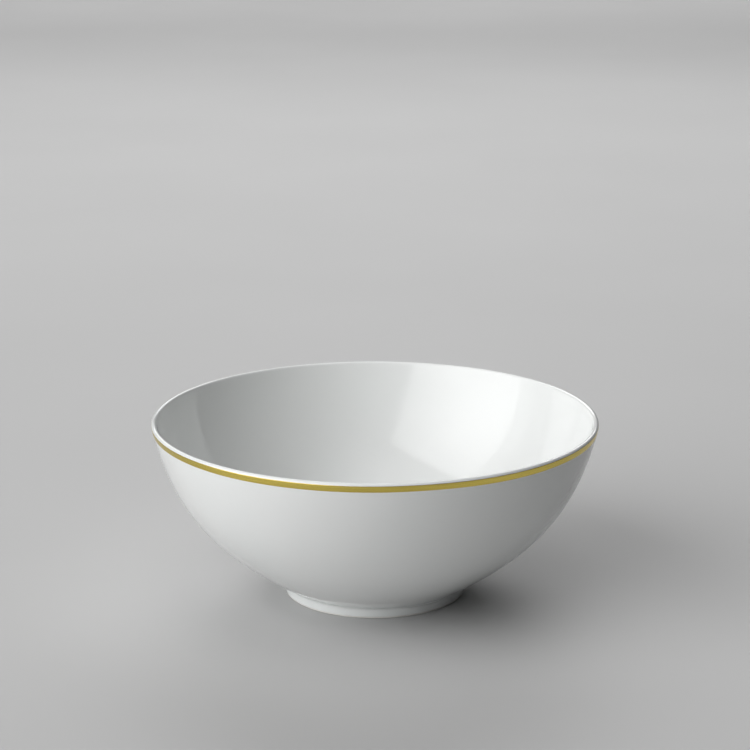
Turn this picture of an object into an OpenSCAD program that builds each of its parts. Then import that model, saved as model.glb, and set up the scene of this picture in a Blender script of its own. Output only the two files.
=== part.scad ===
// Porcelain serving bowl: a round, deep bowl on a short foot ring, glazed inside and out with
// one fired gold line just under the rim. Only the edge that it stands on is bare porcelain.
// Millimetres. Z is the bowl's axis and Z = 0 is the plane that the foot stands on.
//
// Every piece is a full turn of an outline in the (radius, height) plane. A surface's turn is
// how far it has swung from upright: 0 faces straight out, 90 faces straight down.

/* [Bowl] */
// Diameter across the widest part of the rim
rim_d = 230; // [222:1:244]
// Height from the table to the top of the lip
bowl_h = 93; // [90:1:97]
// Thickness of the fully rounded lip
lip_t = 2.7; // [2:0.1:3.2]

/* [Outside of the wall] */
// Turn of the outside just under the lip
outer_lean = 11.5; // [9:0.5:13]
// Radius of the upper part of the outside
upper_r = 130; // [110:1:150]
// Turn that the upper part adds
upper_turn = 14; // [10:0.5:16]
// Radius of the rounder middle part of the outside
middle_r = 102; // [90:1:110]
// Turn that the middle part adds
middle_turn = 24; // [18:0.5:27]

/* [Inside of the wall] */
// Turn of the inside just under the lip, more than outer_lean so that the wall thickens downwards
inner_lean = 12.5; // [12:0.1:13.5]
// Height of the flat middle of the floor
floor_z = 8.9; // [8:0.1:11]

/* [Foot] */
// Diameter of the foot's outer face
foot_d = 94; // [84:1:98]
// Height at which the wall's curve runs out to the foot's outer face
foot_top_z = 5.4; // [5:0.1:7]
// Radius of the hollow between the wall and the foot
foot_hollow_r = 1.8; // [1:0.1:2.2]
// Height of the foot ring, up to the joint where it is luted to the bowl
ring_h = 3.8; // [3.4:0.1:3.8]
// Width of the foot ring at that joint
ring_w = 7; // [5:0.5:9]
// Slope of the ring's inner face
ring_draft = 22; // [10:1:30]
// Rounding of the two corners of the bare standing edge
edge_r = 0.8; // [0.4:0.1:0.9]
// Depth of the recess inside the foot
recess_h = 4.7; // [4.6:0.1:5.2]
// Radius of the corner between the recess's wall and its ceiling
recess_corner_r = 1.5; // [1:0.1:1.5]

/* [Glaze and gold] */
// Thickness of the glaze
glaze_t = 0.25; // [0.2:0.05:0.4]
// Height of the bare edge of the foot, below the glaze
bare_h = 1; // [1:0.1:1.6]
// Turn of the lip at the gold line's upper edge, just above the lip's widest circle
band_start = -8.5; // [-30:0.5:-2]
// Width of the gold line, measured down the wall
band_w = 3.3; // [2:0.1:6]
// Thickness of the fired gold
band_t = 0.1; // [0.1:0.05:0.2]

/* [Hidden] */
$fn = 180;

// How far a straight facet may lie from the curve that it stands for
facet_error = 0.03;
// Porcelain lies inside a bulging arc and outside a hollow one
BULGE = -1;
HOLLOW = 1;

// Direction that a surface faces, for its turn
function facing(turn) = [cos(turn), -sin(turn)];

// Number of facets that an arc takes
function facets(r, from, to) = ceil(abs(to - from) / (2 * acos(1 - facet_error / abs(r))));

// The arc's points without its first, which is the last one of the arc before it
function arc(c, r, from, to, n) = [for (i = [1 : n]) c + r * facing(from + (to - from) * i / n)];

// A row of arcs, at a depth under their surface. Each is [centre, radius, from, to, side].
function outline(arcs, depth) = [
    for (a = arcs)
        each arc(a[0], a[1] + a[4] * depth, a[2], a[3], facets(a[1], a[2], a[3]))
];

function reversed(points) = [for (i = [len(points) - 1 : -1 : 0]) points[i]];

// Lip: one round from the inside of the wall to the outside
lip_r = lip_t / 2;
lip_c = [rim_d / 2 - lip_r, bowl_h - lip_r];

// Outside: two arcs from the lip down, each tangent to the one above it
upper_c = lip_c + (lip_r - upper_r) * facing(outer_lean);
upper_end = outer_lean + upper_turn;
middle_c = upper_c + (upper_r - middle_r) * facing(upper_end);
middle_end = upper_end + middle_turn;
middle_foot = middle_c + middle_r * facing(middle_end);

// Lower part of the outside: the one arc that leaves the middle part smoothly and passes
// through the point where the wall runs out to the foot
foot_r = foot_d / 2;
to_foot = [foot_r, foot_top_z] - middle_foot;
lower_r = -(to_foot * to_foot) / (2 * to_foot * facing(middle_end));
lower_c = middle_foot - lower_r * facing(middle_end);

// Hollow between the wall and the foot, tangent to both
hollow_gap = lower_r + foot_hollow_r;
hollow_x = foot_r + foot_hollow_r;
lower_end = acos((hollow_x - lower_c.x) / hollow_gap);
hollow_c = lower_c + hollow_gap * facing(lower_end);

// Inside: the same curves less the lip's thickness, then one that ends level with the floor
inner_upper_r = upper_r - lip_t;
inner_upper_c = lip_c - (lip_r + inner_upper_r) * facing(inner_lean);
inner_upper_end = inner_lean + upper_turn;
inner_middle_r = middle_r - lip_t;
inner_middle_c = inner_upper_c + (inner_upper_r - inner_middle_r) * facing(inner_upper_end);
inner_middle_end = inner_upper_end + middle_turn;
well_top = inner_middle_c + inner_middle_r * facing(inner_middle_end);
well_r = (well_top.y - floor_z) / (1 - sin(inner_middle_end));
well_c = well_top - well_r * facing(inner_middle_end);

// Gold line: from the lip, just above its widest circle, down the outside
lip_share = lip_r * (outer_lean - band_start) * PI / 180;
band_end = outer_lean + (band_w - lip_share) / upper_r * 180 / PI;
band_arcs = [
    [lip_c, lip_r, band_start, 0, BULGE],
    [lip_c, lip_r, 0, outer_lean, BULGE],
    [upper_c, upper_r, outer_lean, band_end, BULGE]
];

// The glazed surface from the middle of the floor, over the lip, to the top of the foot's face
bowl_arcs = concat(
    [
        [well_c, well_r, 90, inner_middle_end, HOLLOW],
        [inner_middle_c, inner_middle_r, inner_middle_end, inner_upper_end, HOLLOW],
        [inner_upper_c, inner_upper_r, inner_upper_end, inner_lean, HOLLOW],
        [lip_c, lip_r, inner_lean - 180, -90, BULGE],
        [lip_c, lip_r, -90, band_start, BULGE]
    ],
    band_arcs,
    [
        [upper_c, upper_r, band_end, upper_end, BULGE],
        [middle_c, middle_r, upper_end, middle_end, BULGE],
        [lower_c, lower_r, middle_end, lower_end, BULGE],
        [hollow_c, -foot_hollow_r, lower_end, 0, BULGE]
    ]
);
function bowl_skin(depth) = concat(
    [[0, floor_z - depth], [well_c.x, floor_z - depth]],
    outline(bowl_arcs, depth)
);

// Inner face of the foot ring: its radius at a height, at a depth under its glaze
function ring_inner_r(z, depth) =
    foot_r - ring_w + (depth - (z - ring_h) * sin(ring_draft)) / cos(ring_draft);

// The recess, from the top of the ring's inner face to the middle of the ceiling
recess_c = [
    ring_inner_r(recess_h - recess_corner_r, -recess_corner_r),
    recess_h - recess_corner_r
];
recess_arcs = [[recess_c, -recess_corner_r, 180 - ring_draft, 90, BULGE]];
function recess_skin(depth) = concat(
    [recess_c - (recess_corner_r + depth) * facing(180 - ring_draft)],
    outline(recess_arcs, depth),
    [[0, recess_h + depth]]
);

// Foot ring under the glaze: its outer face and the rounded corners of the standing edge
ring_r = foot_r - glaze_t;
edge_arcs = [
    [[ring_r - edge_r, edge_r], edge_r, 0, 90, BULGE],
    [[ring_inner_r(edge_r, glaze_t + edge_r), edge_r], edge_r, 90, 180 - ring_draft, BULGE]
];

// Fired porcelain bowl: wall, lip, floor and the land that the foot ring is luted to
module bowl_body() {
    color("#efede6")
        rotate_extrude()
            polygon(concat(
                bowl_skin(glaze_t),
                [[ring_r, ring_h], [ring_inner_r(ring_h, glaze_t), ring_h]],
                recess_skin(glaze_t)
            ));
}

// Foot ring: a porcelain ring with a flat, bare standing face
module foot_ring() {
    color("#e4dfd3")
        rotate_extrude()
            polygon(concat(
                [[ring_inner_r(ring_h, glaze_t), ring_h], [ring_r, ring_h], [ring_r, edge_r]],
                outline([edge_arcs[0]], 0),
                [[edge_arcs[1][0].x, 0]],
                outline([edge_arcs[1]], 0)
            ));
}

// One coat of clear glaze over the inside, the lip, the outside and the foot's outer face
module glaze_coat() {
    color("#fbfbf9")
        rotate_extrude()
            polygon(concat(
                bowl_skin(0),
                [[foot_r, bare_h + glaze_t], [ring_r, bare_h]],
                reversed(bowl_skin(glaze_t))
            ));
}

// The glaze inside the foot ring, cut off from the rest by the bare standing edge
module recess_glaze() {
    color("#f4f6f4")
        rotate_extrude()
            polygon(concat(
                [[ring_inner_r(bare_h + glaze_t, 0), bare_h + glaze_t]],
                recess_skin(0),
                reversed(recess_skin(glaze_t)),
                [[ring_inner_r(bare_h, glaze_t), bare_h]]
            ));
}

// The fired gold line on the glaze
module gold_band() {
    color("#b59a3c")
        rotate_extrude()
            polygon(concat(
                [lip_c + (lip_r + band_t) * facing(band_start)],
                outline(band_arcs, -band_t),
                reversed(outline(band_arcs, 0)),
                [lip_c + lip_r * facing(band_start)]
            ));
}

bowl_body();
foot_ring();
glaze_coat();
recess_glaze();
gold_band();
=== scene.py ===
"""The looks of the porcelain serving bowl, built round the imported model, which is the frame.

Metres. Z is the bowl's axis and Z = 0 is the plane that the foot stands on. Each piece is a full
turn of an outline in the (radius, height) plane. A surface's turn is how far it has swung from
upright, in degrees: 0 faces straight out, 90 faces straight down.
"""
import math

import bmesh
import bpy
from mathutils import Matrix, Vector, noise

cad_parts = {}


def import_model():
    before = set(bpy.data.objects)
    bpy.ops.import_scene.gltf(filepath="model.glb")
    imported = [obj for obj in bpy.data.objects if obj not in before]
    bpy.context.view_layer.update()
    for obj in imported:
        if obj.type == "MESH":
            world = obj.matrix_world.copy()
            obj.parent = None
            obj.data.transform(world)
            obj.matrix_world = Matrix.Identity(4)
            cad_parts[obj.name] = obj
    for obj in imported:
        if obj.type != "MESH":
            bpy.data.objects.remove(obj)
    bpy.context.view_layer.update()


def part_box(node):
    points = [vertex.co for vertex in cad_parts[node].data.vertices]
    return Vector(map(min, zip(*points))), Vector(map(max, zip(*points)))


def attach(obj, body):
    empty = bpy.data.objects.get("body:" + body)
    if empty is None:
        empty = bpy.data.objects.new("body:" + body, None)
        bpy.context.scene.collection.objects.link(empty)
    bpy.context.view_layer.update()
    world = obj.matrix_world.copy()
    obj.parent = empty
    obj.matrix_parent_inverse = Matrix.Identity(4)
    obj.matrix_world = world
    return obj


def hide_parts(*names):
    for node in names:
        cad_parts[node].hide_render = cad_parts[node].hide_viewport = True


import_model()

MM = 0.001

# ---------------------------------------------------------------- sizes from the frame
glaze_low, glaze_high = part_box("glaze_coat")
body_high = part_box("bowl_body")[1]
ring_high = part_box("foot_ring")[1]
recess_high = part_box("recess_glaze")[1]
band_low, band_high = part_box("gold_band")

RIM_R = glaze_high.x
BOWL_H = glaze_high.z
GLAZE_T = glaze_high.x - body_high.x
BARE_H = glaze_low.z
RING_R = ring_high.x
RING_H = ring_high.z
FOOT_R = RING_R + GLAZE_T
RECESS_H = recess_high.z - GLAZE_T
BAND_TOP_Z = band_high.z
BAND_LOW_Z = band_low.z
BAND_T = band_high.x - glaze_high.x

# the curves of the design, which the frame's boxes don't tell
LIP_R = 1.35 * MM
OUTER_LEAN = 11.5
INNER_LEAN = 12.5
UPPER_R = 130 * MM
UPPER_TURN = 14
MIDDLE_R = 102 * MM
MIDDLE_TURN = 24
FLOOR_Z = 8.9 * MM
FOOT_TOP_Z = 5.4 * MM
FOOT_HOLLOW_R = 1.8 * MM
RING_W = 7 * MM
RING_DRAFT = 22
EDGE_R = 0.8 * MM
RECESS_CORNER_R = 1.5 * MM

# what firing and handwork do to the design: how far each thing drifts from true
OVAL_DRIFT = 0.07 * MM
THREE_SIDED_DRIFT = 0.03 * MM
WIPE_WAVE = 0.16 * MM
WIPE_WAVE_REACH = 2 * MM
BAND_WANDER = 0.12 * MM

# the gold film: its thickness, how far its edges thin out, and how deep it sits in the glaze
FILM_T = 0.05 * MM
FILM_EDGE = 0.25 * MM
FILM_SEAT = 0.03 * MM

# how finely the curves are cut: how far a facet may lie from its curve, and the facets in a turn
SHOWN_ERROR = 0.0025 * MM
HIDDEN_ERROR = 0.03 * MM
BAND_ERROR = 0.0002 * MM
SEGMENTS = 320
GLAZE_END_FACETS = 6
# a point this close to the axis is on it, and a turn past this angle is a sharp edge
ON_AXIS = 0.0001 * MM
SHARP_ANGLE = 40

# porcelain lies inside a bulging arc and outside a hollow one, and a minus radius swaps the two
BULGE = -1
HOLLOW = 1
# where the lip and the upper part of the outside stand in the row of the bowl's arcs
LIP = 3
UPPER = 4


# ---------------------------------------------------------------- outlines
def facing(turn):
    """The direction that a surface faces."""
    return Vector((math.cos(math.radians(turn)), -math.sin(math.radians(turn))))


def arc(c, r, start, end, error):
    """The points of an arc without its first, which ends the arc before it."""
    step = 2 * math.degrees(math.acos(1 - min(error / abs(r), 0.1)))
    count = max(2, math.ceil(abs(end - start) / step))
    return [c + r * facing(start + (end - start) * i / count) for i in range(1, count + 1)]


def outline(arcs, depth=0.0, error=SHOWN_ERROR):
    """A row of arcs (centre, radius, start, end, side) at a depth under their surface."""
    points = []
    for c, r, start, end, side in arcs:
        points += arc(c, r + side * depth, start, end, error)
    return points


def bowl_arcs():
    """The glazed surface from the edge of the floor's flat middle, over the lip, to the foot."""
    lip_c = Vector((RIM_R - LIP_R, BOWL_H - LIP_R))

    # outside: three arcs, each tangent to the one above, the last one through the foot's top
    upper_c = lip_c + (LIP_R - UPPER_R) * facing(OUTER_LEAN)
    upper_end = OUTER_LEAN + UPPER_TURN
    middle_c = upper_c + (UPPER_R - MIDDLE_R) * facing(upper_end)
    middle_end = upper_end + MIDDLE_TURN
    middle_foot = middle_c + MIDDLE_R * facing(middle_end)
    to_foot = Vector((FOOT_R, FOOT_TOP_Z)) - middle_foot
    lower_r = -to_foot.length_squared / (2 * to_foot.dot(facing(middle_end)))
    lower_c = middle_foot - lower_r * facing(middle_end)

    # the hollow between the wall and the foot, tangent to both
    gap = lower_r + FOOT_HOLLOW_R
    lower_end = math.degrees(math.acos((FOOT_R + FOOT_HOLLOW_R - lower_c.x) / gap))
    hollow_c = lower_c + gap * facing(lower_end)

    # inside: the same curves less the lip's thickness, then one that ends level with the floor
    inner_upper_r = UPPER_R - 2 * LIP_R
    inner_upper_c = lip_c - (LIP_R + inner_upper_r) * facing(INNER_LEAN)
    inner_upper_end = INNER_LEAN + UPPER_TURN
    inner_middle_r = MIDDLE_R - 2 * LIP_R
    inner_middle_c = inner_upper_c + (inner_upper_r - inner_middle_r) * facing(inner_upper_end)
    inner_middle_end = inner_upper_end + MIDDLE_TURN
    well_top = inner_middle_c + inner_middle_r * facing(inner_middle_end)
    well_r = (well_top.y - FLOOR_Z) / (1 - math.sin(math.radians(inner_middle_end)))
    well_c = well_top - well_r * facing(inner_middle_end)

    return [
        (well_c, well_r, 90, inner_middle_end, HOLLOW),
        (inner_middle_c, inner_middle_r, inner_middle_end, inner_upper_end, HOLLOW),
        (inner_upper_c, inner_upper_r, inner_upper_end, INNER_LEAN, HOLLOW),
        (lip_c, LIP_R, INNER_LEAN - 180, OUTER_LEAN, BULGE),
        (upper_c, UPPER_R, OUTER_LEAN, upper_end, BULGE),
        (middle_c, MIDDLE_R, upper_end, middle_end, BULGE),
        (lower_c, lower_r, middle_end, lower_end, BULGE),
        (hollow_c, -FOOT_HOLLOW_R, lower_end, 0, BULGE),
    ]


def bowl_skin(depth, error=SHOWN_ERROR):
    """The bowl's surface from the axis, over the lip, to the top of the foot's outer face."""
    arcs = bowl_arcs()
    floor_r = arcs[0][0].x
    floor = [Vector((floor_r * share, FLOOR_Z - depth)) for share in (0, 0.35, 0.7, 1)]
    return floor + outline(arcs, depth, error)


def ring_inner_r(z, depth):
    """The radius of the foot ring's inner face at a height, at a depth under its glaze."""
    lean = math.radians(RING_DRAFT)
    return FOOT_R - RING_W + (depth - (z - RING_H) * math.sin(lean)) / math.cos(lean)


def recess_skin(depth, error=SHOWN_ERROR):
    """The recess from the top of the ring's inner face to the middle of its ceiling."""
    corner_z = RECESS_H - RECESS_CORNER_R
    corner = Vector((ring_inner_r(corner_z, -RECESS_CORNER_R), corner_z))
    start = corner - (RECESS_CORNER_R + depth) * facing(180 - RING_DRAFT)
    arcs = [(corner, -RECESS_CORNER_R, 180 - RING_DRAFT, 90, BULGE)]
    ceiling = [Vector((corner.x * share, RECESS_H + depth)) for share in (0.75, 0.5, 0.25, 0)]
    return [start] + outline(arcs, depth, error) + ceiling


# ---------------------------------------------------------------- meshes
def kiln_warp(p):
    """What firing does to a true round: the wall drifts by up to a tenth of a millimetre."""
    angle = math.atan2(p.y, p.x)
    height = max(0.0, p.z - FOOT_TOP_Z) / BOWL_H
    drift = OVAL_DRIFT * math.cos(2 * angle + 0.6)
    drift += THREE_SIDED_DRIFT * math.cos(3 * angle - 1.1)
    grow = 1 + drift * height / RIM_R
    return Vector((p.x * grow, p.y * grow, p.z))


def lathe(name, points, move=None):
    """A mesh object: the outline turned about Z, closed from its last point to its first."""
    bm = bmesh.new()
    rings = []
    for r, z in points:
        count = SEGMENTS if r > ON_AXIS else 1
        ring = []
        for i in range(count):
            angle = 2 * math.pi * i / SEGMENTS
            p = Vector((r * math.cos(angle), r * math.sin(angle), z))
            ring.append(bm.verts.new(kiln_warp(move(p) if move else p)))
        rings.append(ring)
    for here, there in zip(rings, rings[1:] + rings[:1]):
        for i in range(SEGMENTS if max(len(here), len(there)) > 1 else 0):
            j = (i + 1) % SEGMENTS
            corners = [here[i % len(here)], here[j % len(here)]]
            corners += [there[j % len(there)], there[i % len(there)]]
            bm.faces.new(list(dict.fromkeys(corners)))
    bmesh.ops.recalc_face_normals(bm, faces=bm.faces)
    for face in bm.faces:
        face.smooth = True
    for edge in bm.edges:
        if edge.calc_face_angle(0) > math.radians(SHARP_ANGLE):
            edge.smooth = False
    mesh = bpy.data.meshes.new(name)
    bm.to_mesh(mesh)
    bm.free()
    piece = bpy.data.objects.new(name, mesh)
    bpy.context.scene.collection.objects.link(piece)
    return piece


def fit(piece, material, node):
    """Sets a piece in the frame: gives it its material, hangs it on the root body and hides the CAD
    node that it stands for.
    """
    piece.data.materials.append(material)
    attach(piece, "root")
    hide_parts(node)


# ---------------------------------------------------------------- materials
GLAZE_WHITE = (0.83, 0.843, 0.835)
# painted shade: a darker, cooler white for the hollow above the foot and the recess's corner, with
# its height and reach
GLAZE_PAINTED_SHADE = (0.77, 0.805, 0.797)
PAINTED_SHADE_TOP_Z = 6 * MM
PAINTED_SHADE_REACH = 3 * MM
GOLD_THIN = (0.48, 0.36, 0.085)
GOLD_MIDDLE = (0.79, 0.62, 0.137)
GOLD_FULL = (0.96, 0.765, 0.182)


class Shader:
    """A material whose nodes are added one by one, with its Principled shader's inputs set."""

    def __init__(self, name, **inputs):
        self.material = bpy.data.materials.new(name)
        self.material.use_nodes = True
        self.tree = self.material.node_tree
        self.principled = self.tree.nodes["Principled BSDF"]
        self.place = self.add("ShaderNodeTexCoord").outputs["Object"]
        for key, value in inputs.items():
            self.principled.inputs[key.replace("_", " ")].default_value = value

    def add(self, kind, **inputs):
        node = self.tree.nodes.new(kind)
        for key, value in inputs.items():
            socket = node.inputs[key.replace("_", " ")]
            if isinstance(value, bpy.types.NodeSocket):
                self.tree.links.new(value, socket)
            else:
                socket.default_value = value
        return node

    def stretched(self, x, y, z):
        """The place on the object, stretched along each axis."""
        node = self.add("ShaderNodeMapping", Vector=self.place)
        node.inputs["Scale"].default_value = (x, y, z)
        return node.outputs["Vector"]

    def noise(self, scale, detail=3.0, roughness=0.5, place=None):
        node = self.add(
            "ShaderNodeTexNoise",
            Vector=place or self.place,
            Scale=scale,
            Detail=detail,
            Roughness=roughness,
        )
        return node.outputs["Fac"]

    def between(self, fac, low, high, fac_low=0.3, fac_high=0.7):
        """A number that runs from low to high as fac runs from fac_low to fac_high."""
        node = self.add("ShaderNodeMapRange", Value=fac)
        for key, value in (
            ("From Min", fac_low), ("From Max", fac_high), ("To Min", low), ("To Max", high)
        ):
            node.inputs[key].default_value = value
        return node.outputs["Result"]

    def colours(self, fac, stops):
        """A colour ramp: stops are (position, (r, g, b))."""
        node = self.add("ShaderNodeValToRGB", Fac=fac)
        ramp = node.color_ramp
        while len(ramp.elements) < len(stops):
            ramp.elements.new(0.5)
        for element, (position, colour) in zip(ramp.elements, stops):
            element.position = position
            element.color = (*colour, 1)
        return node.outputs["Color"]

    def height(self):
        """The height above the table, in metres."""
        return self.add("ShaderNodeSeparateXYZ", Vector=self.place).outputs["Z"]

    def radius(self):
        """The distance from the bowl's axis, in metres."""
        node = self.add("ShaderNodeVectorMath", Vector=self.stretched(1, 1, 0))
        node.operation = "LENGTH"
        return node.outputs["Value"]

    def maths(self, operation, a, b):
        """One sum on two numbers, each an output or a constant."""
        node = self.add("ShaderNodeMath")
        node.operation = operation
        for socket, value in zip(node.inputs, (a, b)):
            if isinstance(value, bpy.types.NodeSocket):
                self.tree.links.new(value, socket)
            else:
                socket.default_value = value
        return node.outputs["Value"]

    def turned_rings(self, period):
        """Fine rings about the bowl's axis, a period apart and a little ragged."""
        node = self.add("ShaderNodeTexWave", Vector=self.place, Distortion=1.5, Detail=3.0)
        node.wave_type = "RINGS"
        node.rings_direction = "Z"
        # at a scale of 1 this texture has one ring every pi / 10
        node.inputs["Scale"].default_value = math.pi / (10 * period)
        node.inputs["Detail Scale"].default_value = 2.0
        return node.outputs["Fac"]

    def bump(self, height, distance, strength=1.0, normal=None):
        node = self.add("ShaderNodeBump", Height=height, Distance=distance, Strength=strength)
        if normal:
            self.tree.links.new(normal, node.inputs["Normal"])
        return node.outputs["Normal"]

    def drive(self, **outputs):
        for key, output in outputs.items():
            self.tree.links.new(output, self.principled.inputs[key.replace("_", " ")])


def glaze_material(name, painted_shade_r):
    """White porcelain glaze: smooth and a little uneven, with painted shade, a darker and cooler
    white, in a low hollow.
    """
    s = Shader(name, IOR=1.5)
    # painted shade: the glaze turns darker and cooler near the given radius, low on the bowl
    away = s.maths("ABSOLUTE", s.maths("SUBTRACT", s.radius(), painted_shade_r), 0)
    low = s.between(s.height(), 1, 0, PAINTED_SHADE_TOP_Z, 2 * PAINTED_SHADE_TOP_Z)
    painted_shade = s.maths("MULTIPLY", s.between(away, 1, 0, 0, PAINTED_SHADE_REACH), low)
    drift = s.between(s.noise(scale=22, detail=4), -0.15, 0.15)
    fac = s.maths("ADD", painted_shade, drift)
    s.drive(Base_Color=s.colours(fac, [(0, GLAZE_WHITE), (1, GLAZE_PAINTED_SHADE)]))
    s.drive(Roughness=s.between(s.noise(scale=60), 0.045, 0.085))
    swell = s.bump(s.noise(scale=28, detail=1), 0.05 * MM)
    s.drive(Normal=s.bump(s.noise(scale=420, detail=2), 0.0025 * MM, normal=swell))
    return s.material


def bare_porcelain():
    """Unglazed porcelain: white, dry and as fine as icing, with the rings that grinding left."""
    s = Shader("bare_porcelain", IOR=1.45)
    fac = s.noise(scale=160, detail=5, roughness=0.6)
    s.drive(Base_Color=s.colours(fac, [(0.3, (0.75, 0.735, 0.7)), (0.7, (0.82, 0.81, 0.785))]))
    s.drive(Roughness=s.between(s.noise(scale=900), 0.6, 0.85))
    ground = s.bump(s.turned_rings(0.3 * MM), 0.004 * MM)
    grain = s.noise(scale=3200, roughness=0.65)
    s.drive(Normal=s.bump(grain, 0.02 * MM, normal=ground))
    return s.material


def body_porcelain():
    """The fired body under the glaze."""
    s = Shader("body_porcelain", IOR=1.45, Roughness=0.6)
    fac = s.noise(scale=40)
    s.drive(Base_Color=s.colours(fac, [(0.3, (0.8, 0.79, 0.76)), (0.7, (0.84, 0.83, 0.8))]))
    s.drive(Normal=s.bump(s.noise(scale=1500, detail=2), 0.01 * MM))
    return s.material


def fired_gold():
    """Fired gold, brushed on as the bowl turned: streaks along the line, and thin, dull edges."""
    s = Shader("fired_gold", Metallic=1.0)
    streaks = s.noise(scale=1, roughness=0.6, place=s.stretched(30, 30, 5200))
    fade = 0.35 * MM
    thin = 0.45
    upper = s.between(s.height(), 1, thin, BAND_TOP_Z - fade, BAND_TOP_Z)
    lower = s.between(s.height(), thin, 1, BAND_LOW_Z, BAND_LOW_Z + fade)
    full = s.maths("MULTIPLY", streaks, s.maths("MULTIPLY", upper, lower))
    stops = [(0.15, GOLD_THIN), (0.4, GOLD_MIDDLE), (0.7, GOLD_FULL)]
    s.drive(Base_Color=s.colours(full, stops))
    s.drive(Roughness=s.between(full, 0.34, 0.17, 0.2, 0.6))
    s.drive(Normal=s.bump(streaks, 0.004 * MM))
    return s.material


# ---------------------------------------------------------------- the pieces
def glaze_wave(p):
    """The edge where the glaze was wiped off the foot isn't quite level."""
    angle = math.atan2(p.y, p.x)
    wave = noise.noise(Vector((3 * math.cos(angle), 3 * math.sin(angle), 0.3)))
    fade = max(0.0, 1 - (p.z - BARE_H) / WIPE_WAVE_REACH)
    return Vector((p.x, p.y, p.z + WIPE_WAVE * wave * fade))


def glaze_end(c, first, last):
    """The rounded end of a coat of glaze."""
    shares = [i / GLAZE_END_FACETS for i in range(GLAZE_END_FACETS + 1)]
    return [c + GLAZE_T * facing(first + (last - first) * share) for share in shares]


def glaze_coat():
    """The coat over the inside, the lip, the outside and the foot's outer face."""
    end_c = Vector((RING_R, BARE_H + GLAZE_T))
    face = [Vector((FOOT_R, z * MM)) for z in (3.4, 2.6, 1.9, 1.5)]
    points = bowl_skin(0) + face + glaze_end(end_c, 0, 90)
    points += reversed(bowl_skin(GLAZE_T, HIDDEN_ERROR))
    return lathe("glaze_coat_piece", points, glaze_wave)


def recess_glaze():
    """The coat inside the foot ring."""
    end_z = BARE_H + GLAZE_T
    end_c = Vector((ring_inner_r(end_z, GLAZE_T), end_z))
    points = glaze_end(end_c, 90, 180 - RING_DRAFT) + recess_skin(0)
    points += reversed(recess_skin(GLAZE_T, HIDDEN_ERROR))
    return lathe("recess_glaze_piece", points, glaze_wave)


def bowl_body():
    """The porcelain under the glaze, with the land that the foot ring is luted to."""
    land = [Vector((RING_R, RING_H)), Vector((ring_inner_r(RING_H, GLAZE_T), RING_H))]
    points = bowl_skin(GLAZE_T, HIDDEN_ERROR) + land + recess_skin(GLAZE_T, HIDDEN_ERROR)
    return lathe("bowl_body_piece", points)


def foot_ring():
    """The ring under the bowl, with its bare, rounded standing edge."""
    outer_c = Vector((RING_R - EDGE_R, EDGE_R))
    inner_c = Vector((ring_inner_r(EDGE_R, GLAZE_T + EDGE_R), EDGE_R))
    points = [Vector((ring_inner_r(RING_H, GLAZE_T), RING_H)), Vector((RING_R, RING_H))]
    points += [Vector((RING_R, EDGE_R))]
    points += outline([(outer_c, EDGE_R, 0, 90, BULGE)])
    flat = outer_c.x - inner_c.x
    points += [Vector((outer_c.x - flat * share, 0)) for share in (0.25, 0.5, 0.75, 1)]
    points += outline([(inner_c, EDGE_R, 90, 180 - RING_DRAFT, BULGE)])
    return lathe("foot_ring_piece", points)


def gold_wander(p):
    """The line was painted as the bowl turned, so it rides up and down a little."""
    angle = math.atan2(p.y, p.x)
    wave = noise.noise(Vector((2 * math.cos(angle), 2 * math.sin(angle), 7.1)))
    return Vector((p.x, p.y, p.z + BAND_WANDER * wave))


def gold_band():
    """The fired line: a film that is thinnest at its two edges, from just above the widest circle."""
    arcs = bowl_arcs()
    lip_c, upper_c = arcs[LIP][0], arcs[UPPER][0]
    start = math.degrees(math.asin((lip_c.y - BAND_TOP_Z) / (LIP_R + BAND_T)))
    end = math.degrees(math.asin((upper_c.y - BAND_LOW_Z) / (UPPER_R + BAND_T)))
    stretches = [
        (lip_c, LIP_R, start, OUTER_LEAN, BULGE),
        (upper_c, UPPER_R, OUTER_LEAN, end, BULGE),
    ]
    middle = [lip_c + LIP_R * facing(start)] + outline(stretches, 0, BAND_ERROR)
    lengths = [0.0]
    for a, b in zip(middle, middle[1:]):
        lengths.append(lengths[-1] + (b - a).length)
    outer, inner = [], []
    for i, p in enumerate(middle):
        near = min(lengths[i], lengths[-1] - lengths[i])
        a, b = middle[max(0, i - 1)], middle[min(len(middle) - 1, i + 1)]
        out = Vector((-(b - a).y, (b - a).x)).normalized()
        outer.append(p + out * FILM_T * math.sqrt(min(1, near / FILM_EDGE)))
        inner.append(p - out * FILM_SEAT)
    return lathe("gold_band_piece", outer + inner[::-1], gold_wander)


# painted shade: in the hollow above the foot on the outside, and in the corner of the recess's
# ceiling
white_glaze = glaze_material("white_glaze", FOOT_R + FOOT_HOLLOW_R)
inner_glaze = glaze_material("recess_glaze", ring_inner_r(RECESS_H, 0) - RECESS_CORNER_R / 2)
fit(glaze_coat(), white_glaze, "glaze_coat")
fit(recess_glaze(), inner_glaze, "recess_glaze")
fit(bowl_body(), body_porcelain(), "bowl_body")
fit(foot_ring(), bare_porcelain(), "foot_ring")
fit(gold_band(), fired_gold(), "gold_band")


# ---------------------------------------------------------------- camera, floor and light
LENS_MM = 116.1
SENSOR_MM = 36
CAMERA_PLACE = (0, -1.2, 0.436)
CAMERA_PITCH = 14.956
FLOOR_REACH = 6
FLOOR_GREY = (0.51, 0.51, 0.51)
FLOOR_LIGHT_GREY = (0.53, 0.53, 0.53)


def camera():
    """One long lens, 1.2 m in front of the bowl's axis, looking down at it by 15 degrees."""
    data = bpy.data.cameras.new("camera")
    data.lens = LENS_MM
    data.sensor_width = SENSOR_MM
    data.dof.use_dof = False
    obj = bpy.data.objects.new("camera", data)
    obj.location = CAMERA_PLACE
    obj.rotation_euler = (math.radians(90 - CAMERA_PITCH), 0, 0)
    bpy.context.scene.collection.objects.link(obj)
    bpy.context.scene.camera = obj


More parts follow.
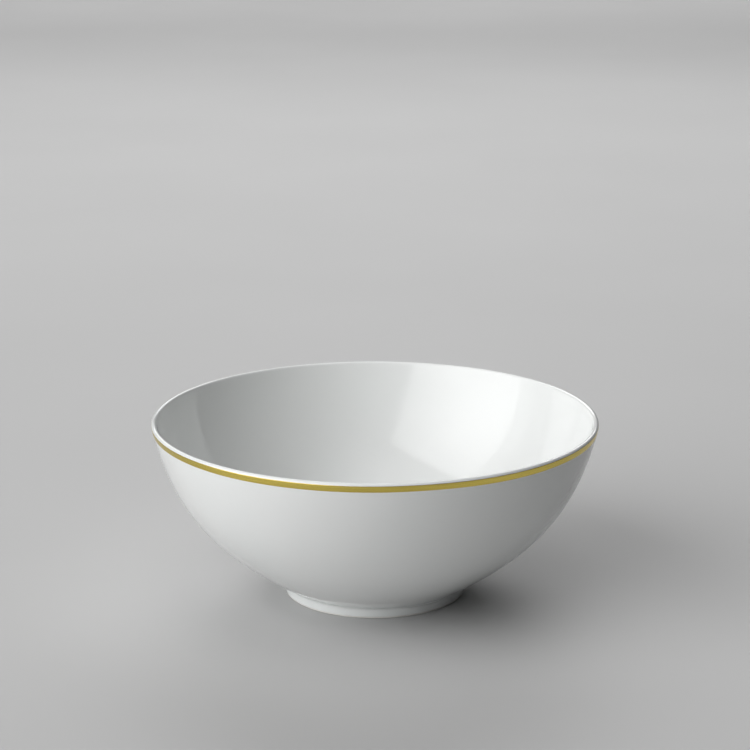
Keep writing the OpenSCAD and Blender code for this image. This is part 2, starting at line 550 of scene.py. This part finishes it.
def floor():
    """A plain pale floor."""
    bm = bmesh.new()
    bmesh.ops.create_grid(bm, x_segments=8, y_segments=8, size=FLOOR_REACH)
    mesh = bpy.data.meshes.new("floor")
    bm.to_mesh(mesh)
    bm.free()
    obj = bpy.data.objects.new("floor", mesh)
    bpy.context.scene.collection.objects.link(obj)
    s = Shader("pale_floor", Roughness=0.6)
    fac = s.noise(scale=3, detail=2)
    s.drive(Base_Color=s.colours(fac, [(0.3, FLOOR_GREY), (0.7, FLOOR_LIGHT_GREY)]))
    mesh.materials.append(s.material)


def direction(azimuth, elevation):
    """A unit vector, in degrees: azimuth 0 is the camera's side and 90 is the right."""
    around, up = math.radians(azimuth), math.radians(elevation)
    flat = math.cos(up)
    return Vector((math.sin(around) * flat, -math.cos(around) * flat, math.sin(up)))


def softbox(name, place, aim, width, height, brightness, spread=180):
    """A rectangular soft light that faces a point. A narrower spread makes its edges softer."""
    data = bpy.data.lights.new(name, "AREA")
    data.shape = "RECTANGLE"
    data.size = width
    data.size_y = height
    data.energy = brightness * math.pi * width * height
    data.spread = math.radians(spread)
    obj = bpy.data.objects.new(name, data)
    obj.location = place
    obj.rotation_mode = "QUATERNION"
    obj.rotation_quaternion = (Vector(aim) - Vector(place)).to_track_quat("-Z", "Y")
    obj.visible_camera = False
    bpy.context.scene.collection.objects.link(obj)


def world(strength):
    """The dim, even light of the room."""
    room = bpy.data.worlds.new("room")
    room.use_nodes = True
    background = room.node_tree.nodes["Background"]
    background.inputs["Color"].default_value = (1, 1, 1, 1)
    background.inputs["Strength"].default_value = strength
    bpy.context.scene.world = room


camera()
floor()
world(0.03)
bowl = Vector((0, 0, 0.05))
# a large screen on the left, which the glaze mirrors, and softer light from there and above
softbox("screen_left", (-1.7, -1.2, 1.6), (0, 0, 1.05), width=3.1, height=3.05, brightness=1.34)
softbox("fill_left", direction(-60, 30) * 3, bowl, 5, 3.4, brightness=0.52, spread=90)
softbox("fill_low", direction(-35, 10) * 2.6, bowl, 1.6, 0.7, brightness=0.12, spread=120)
softbox("fill_top", direction(0, 85) * 3, bowl, 4, 4, brightness=0.19, spread=70)
# from behind, for the lip and the floor
softbox("rear", direction(178, 32) * 2.6, bowl, 2.2, 1.2, brightness=1.3, spread=120)
softbox("floor_behind", (0, 3.2, 2.2), (0, 3.2, 0), 4, 1.6, brightness=1.6, spread=110)
bpy.context.scene.view_settings.view_transform = "Standard"
